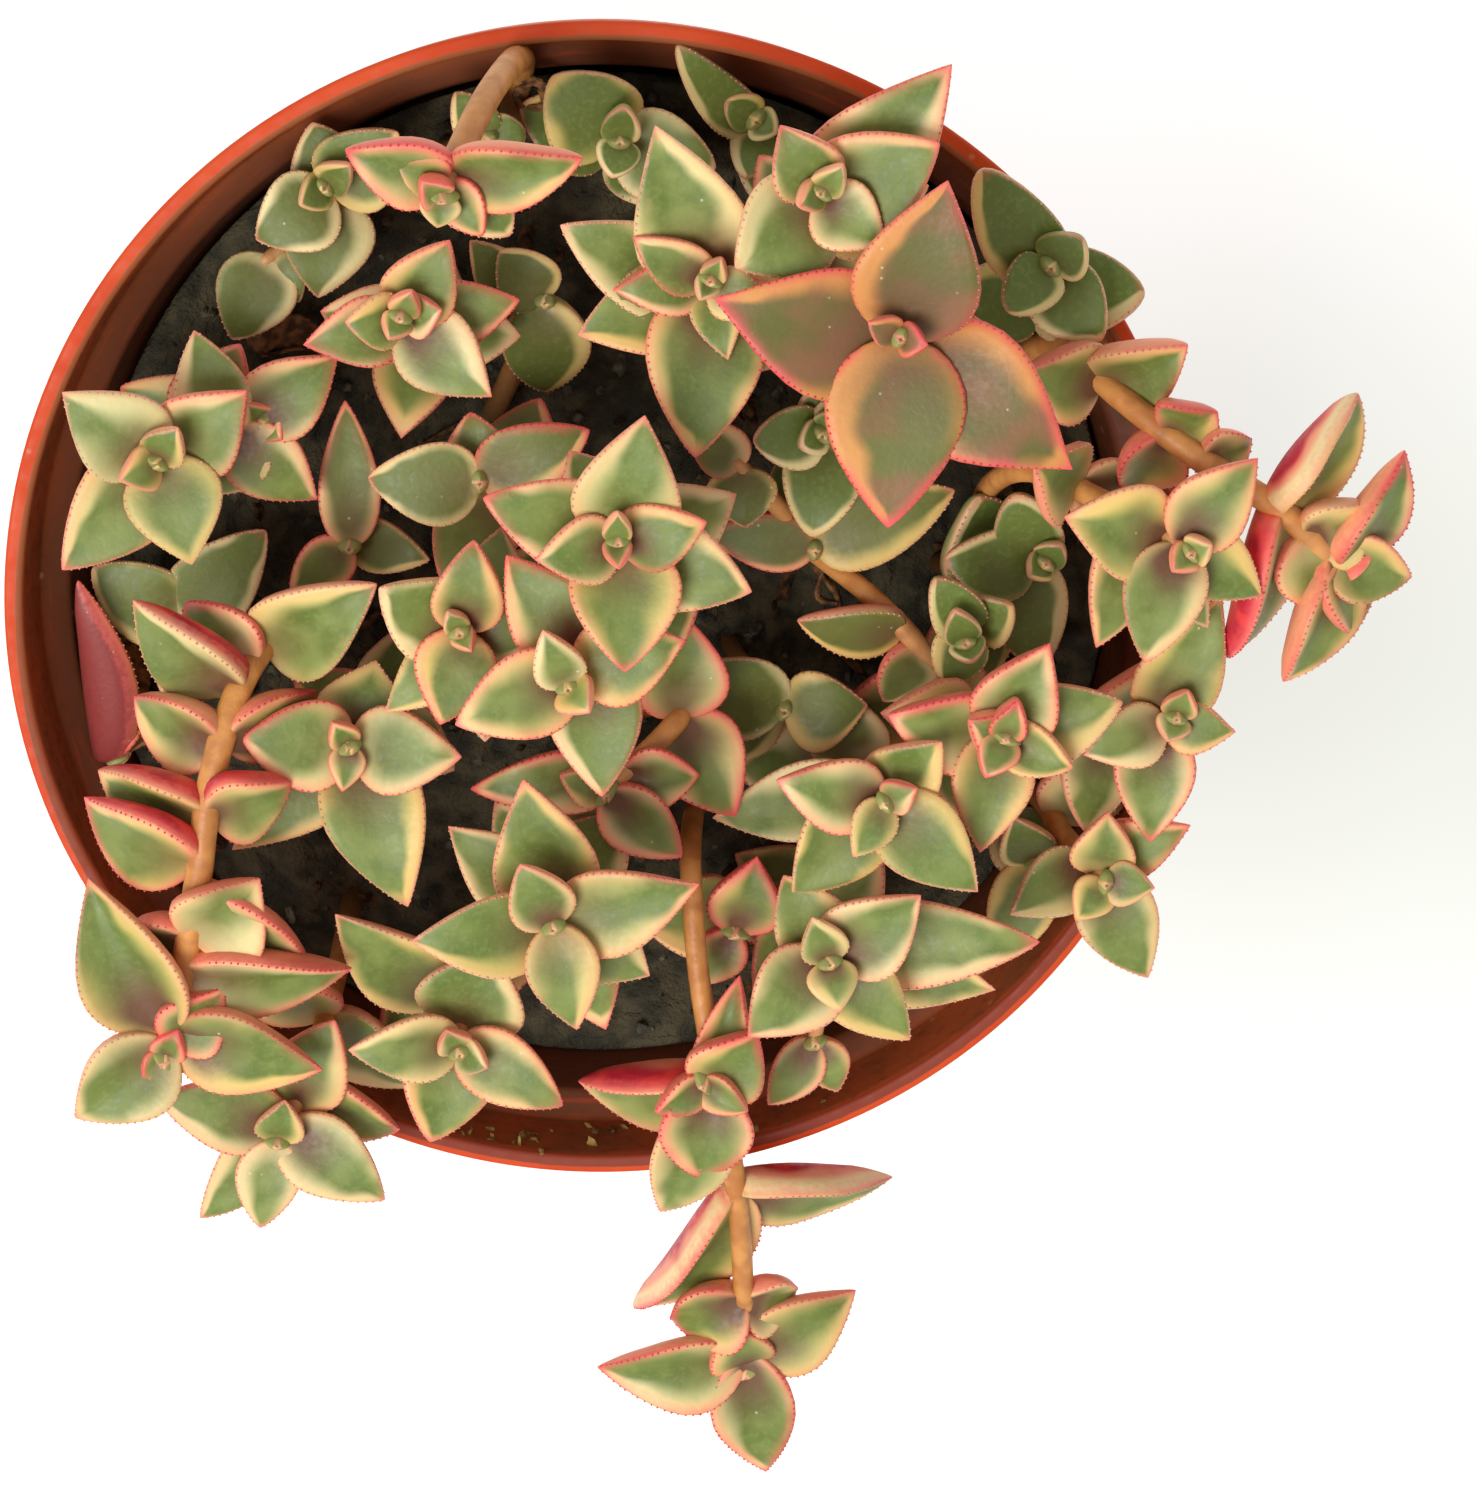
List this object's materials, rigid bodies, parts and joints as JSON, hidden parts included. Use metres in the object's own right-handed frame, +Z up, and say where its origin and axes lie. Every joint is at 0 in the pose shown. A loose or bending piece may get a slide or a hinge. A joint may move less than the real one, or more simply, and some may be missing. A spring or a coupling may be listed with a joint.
{
  "type": "potted calico kitten crassula",
  "caption": "Small trailing succulent with opposite, pointed, cream and pink edged leaves, standing in soil in a round orange nursery pot.",
  "frame": {"origin": "centre of the pot's flat base, on the surface that the pot stands on", "axes": "+Z up along the pot's axis; -Y is the side over whose rim one stem trails, +X the side over whose rim another trails"},
  "size_m": [0.1281, 0.1439, 0.115],
  "materials": {
    "pot": "satin",
    "soil": "matte",
    "succulent_sage": "satin",
    "succulent_green": "satin",
    "succulent_dark": "satin",
    "succulent_pink": "satin",
    "succulent_old": "satin",
    "succulent_red": "satin"
  },
  "bodies": {
    "root": {"pot": "pot", "soil": "soil", "leafy_stem_crown": "succulent_sage", "leafy_stem_crown_west": "succulent_sage", "leafy_stem_north_tall": "succulent_sage", "leafy_stem_north_east": "succulent_sage", "leafy_stem_old_rosette": "succulent_old", "leafy_stem_inner_north": "succulent_green", "leafy_stem_north_west": "succulent_dark", "leafy_stem_west": "succulent_sage", "leafy_stem_arching": "succulent_pink", "leafy_stem_inner_west": "succulent_sage", "leafy_stem_inner_brown": "succulent_dark", "leafy_stem_north": "succulent_green", "leafy_stem_north_small": "succulent_green", "leafy_stem_north_low": "succulent_green", "leafy_stem_east_rim": "succulent_green", "leafy_stem_east_trailing": "succulent_pink", "leafy_stem_east": "succulent_sage", "leafy_stem_east_low": "succulent_green", "leafy_stem_south_east": "succulent_pink", "leafy_stem_south_east_rim": "succulent_sage", "leafy_stem_south_east_low": "succulent_sage", "leafy_stem_south_inner": "succulent_sage", "leafy_stem_south": "succulent_sage", "leafy_stem_front_trailing": "succulent_pink", "leafy_stem_front_tall": "succulent_sage", "leafy_stem_front_west": "succulent_sage", "leafy_stem_south_west_rim": "succulent_sage", "leafy_stem_west_trailing": "succulent_pink", "leafy_stem_inner_south_west": "succulent_sage", "leafy_stem_middle_north": "succulent_old", "leafy_stem_middle_east": "succulent_old", "leafy_stem_middle": "succulent_dark", "leafy_stem_middle_south": "succulent_pink", "leafy_stem_south_low": "succulent_pink", "leafy_stem_west_low": "succulent_red", "leafy_stem_west_inner": "succulent_dark", "leafy_stem_brown": "succulent_old", "leafy_stem_east_inner": "succulent_dark"}
  },
  "joints": []
}
